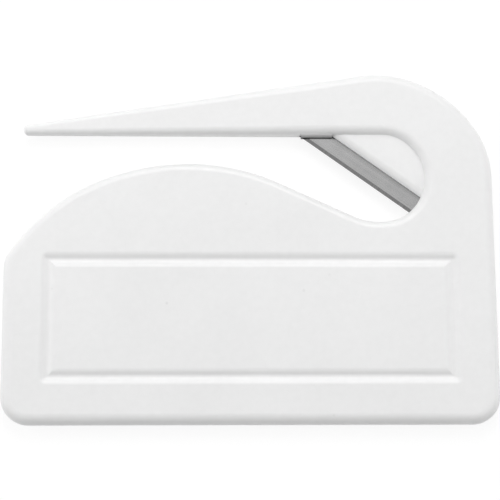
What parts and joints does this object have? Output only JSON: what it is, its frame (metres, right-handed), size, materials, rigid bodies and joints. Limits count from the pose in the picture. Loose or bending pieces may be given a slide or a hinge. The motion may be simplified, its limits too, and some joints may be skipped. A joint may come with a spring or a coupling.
{
  "type": "letter opener",
  "caption": "Flat card-shaped hand letter opener: half shells with a pointed arm over a curved throat, where a slanted fixed blade slits an envelope's fold.",
  "frame": {"origin": "middle of the back face's bounding rectangle, on the surface that the opener lies on", "axes": "+X to the right of the front face along the straight foot, +Y from the foot to the pointed arm, +Z out of the front face"},
  "size_m": [0.085, 0.0622, 0.004],
  "materials": {
    "shell_plastic": "white moulded plastic with a soft satin sheen",
    "blade_steel": "thin ground steel strip with a darker ground edge"
  },
  "bodies": {
    "root": {"front_shell": "shell_plastic", "back_shell": "shell_plastic", "blade": "blade_steel"}
  },
  "joints": []
}
